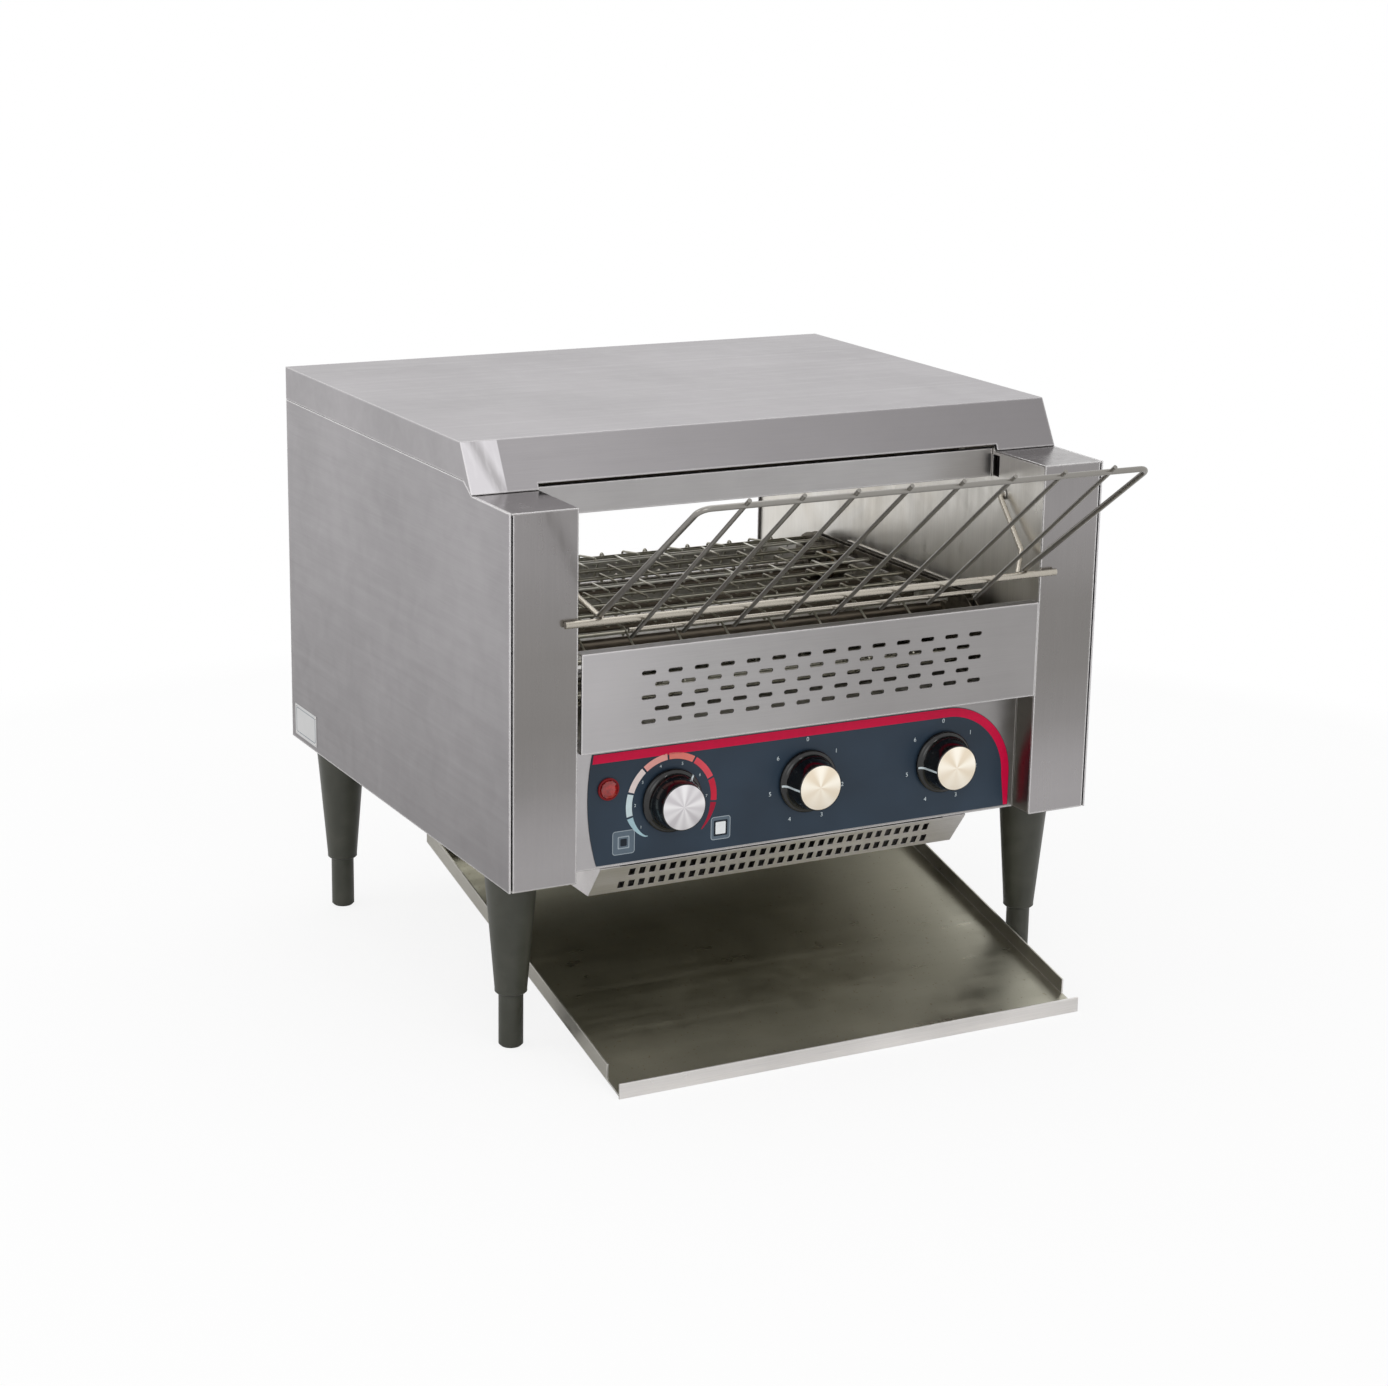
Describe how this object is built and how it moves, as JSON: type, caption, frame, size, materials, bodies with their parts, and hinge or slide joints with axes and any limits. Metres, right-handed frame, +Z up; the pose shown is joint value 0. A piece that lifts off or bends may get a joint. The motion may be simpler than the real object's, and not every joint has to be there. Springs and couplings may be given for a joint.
{
  "type": "conveyor toaster",
  "caption": "Countertop conveyor toaster: wire belt between heating elements, sloping wire loading rack, rotary controls, rear chute and a sloping toast tray under the body.",
  "frame": {"origin": "on the table, under the middle of the whole outline", "axes": "+Z up, +Y from the loading side to the rear, +X to the right as seen from the front"},
  "size_m": [0.4703, 0.5764, 0.425],
  "materials": {
    "stainless": "brushed",
    "inner_steel": "heat-dulled",
    "plate_steel": "plain rolled",
    "tray_steel": "rolled",
    "label_metal": "satin",
    "bright_metal": "polished",
    "chrome_wire": "plated",
    "chain_steel": "oiled",
    "belt_wire": "bright drawn wire",
    "bush_bronze": "sintered",
    "element_sheath": "heat-tinted",
    "ceramic": "glazed ceramic",
    "motor_paint": "satin",
    "overlay": "satin printed film",
    "lamp_red": "clear red",
    "knob_black": "moulded",
    "black_plastic": "moulded",
    "leg_black": "moulded"
  },
  "bodies": {
    "casing": {"hood": "stainless", "left_side_panel": "stainless", "right_side_panel": "stainless", "left_pillar": "stainless", "right_pillar": "stainless", "left_inner_wall": "inner_steel", "right_inner_wall": "inner_steel", "front_header": "stainless", "vent_panel": "stainless", "control_panel": "stainless", "control_overlay": "overlay", "lower_grille": "stainless", "left_base_rail": "plate_steel", "right_base_rail": "plate_steel", "electronics_floor": "plate_steel", "heat_shield": "inner_steel", "rear_panel": "stainless", "toast_chute": "inner_steel", "rating_plate": "label_metal", "cable_gland": "black_plastic", "cover_screws": "bright_metal", "upper_reflector": "inner_steel", "upper_elements": "element_sheath", "lower_reflector": "inner_steel", "lower_elements": "element_sheath", "element_insulators": "ceramic", "shaft_bushes": "bush_bronze", "left_belt_chain": "chain_steel", "right_belt_chain": "chain_steel", "belt_rods": "belt_wire", "belt_rails": "inner_steel", "gear_motor": "motor_paint", "drive_chain": "chain_steel", "fan_frame": "black_plastic", "rotary_controls": "black_plastic", "lamp_body": "black_plastic", "lamp_lens": "lamp_red", "legs": "leg_black"},
    "speed_control": {"speed_knob": "knob_black", "speed_spindle": "bright_metal"},
    "upper_control": {"upper_knob": "knob_black", "upper_spindle": "bright_metal"},
    "lower_control": {"lower_knob": "knob_black", "lower_spindle": "bright_metal"},
    "drive_line": {"drive_shaft": "bright_metal", "rear_sprockets": "chain_steel", "driven_wheel": "chain_steel"},
    "idler_line": {"idler_shaft": "bright_metal", "front_sprockets": "chain_steel"},
    "motor_output": {"motor_wheel": "chain_steel"},
    "fan_rotor": {"fan_impeller": "black_plastic"},
    "loading_rack": {"rack_frame": "chrome_wire", "rack_bars": "chrome_wire", "rack_wires": "chrome_wire", "rack_arms": "chrome_wire"},
    "tray": {"toast_tray": "tray_steel"},
    "front_left_foot": {"foot_front_left": "leg_black"},
    "front_right_foot": {"foot_front_right": "leg_black"},
    "rear_left_foot": {"foot_rear_left": "leg_black"},
    "rear_right_foot": {"foot_rear_right": "leg_black"}
  },
  "joints": [
    {"name": "speed_knob_turn", "type": "hinge", "parent": "casing", "child": "speed_control", "pos_m": [-0.102, -0.13024, 0.1732], "axis": [0, 1, 0], "range_deg": [-180, 90]},
    {"name": "upper_knob_turn", "type": "hinge", "parent": "casing", "child": "upper_control", "pos_m": [0.007, -0.13024, 0.1732], "axis": [0, 1, 0], "continuous": true},
    {"name": "lower_knob_turn", "type": "hinge", "parent": "casing", "child": "lower_control", "pos_m": [0.121, -0.13024, 0.1732], "axis": [0, 1, 0], "continuous": true},
    {"name": "drive_turn", "type": "hinge", "parent": "casing", "child": "drive_line", "pos_m": [0, 0.15966, 0.2555], "axis": [-1, 0, 0], "continuous": true},
    {"name": "idler_turn", "type": "hinge", "parent": "casing", "child": "idler_line", "pos_m": [0, -0.05624, 0.2555], "axis": [-1, 0, 0], "continuous": true},
    {"name": "motor_turn", "type": "hinge", "parent": "casing", "child": "motor_output", "pos_m": [0.18, 0.05976, 0.175], "axis": [-1, 0, 0], "continuous": true},
    {"name": "fan_turn", "type": "hinge", "parent": "casing", "child": "fan_rotor", "pos_m": [0, -0.03524, 0.145], "axis": [0, 0, 1], "continuous": true},
    {"name": "rack_lift", "type": "hinge", "parent": "casing", "child": "loading_rack", "pos_m": [0, -0.08824, 0.3615], "axis": [-1, 0, 0], "range_deg": [0, 60]},
    {"name": "tray_pull", "type": "slide", "parent": "casing", "child": "tray", "axis": [0, -1, 0], "range_m": [0, 0.32]},
    {"name": "front_left_foot_screw", "type": "slide", "parent": "casing", "child": "front_left_foot", "axis": [0, 0, -1], "range_m": [0, 0.02]},
    {"name": "front_right_foot_screw", "type": "slide", "parent": "casing", "child": "front_right_foot", "axis": [0, 0, -1], "range_m": [0, 0.02]},
    {"name": "rear_left_foot_screw", "type": "slide", "parent": "casing", "child": "rear_left_foot", "axis": [0, 0, -1], "range_m": [0, 0.02]},
    {"name": "rear_right_foot_screw", "type": "slide", "parent": "casing", "child": "rear_right_foot", "axis": [0, 0, -1], "range_m": [0, 0.02]}
  ],
  "couplings": [
    {"joint": "idler_turn", "follows": "drive_turn", "ratio": 1},
    {"joint": "motor_turn", "follows": "drive_turn", "ratio": 2}
  ]
}
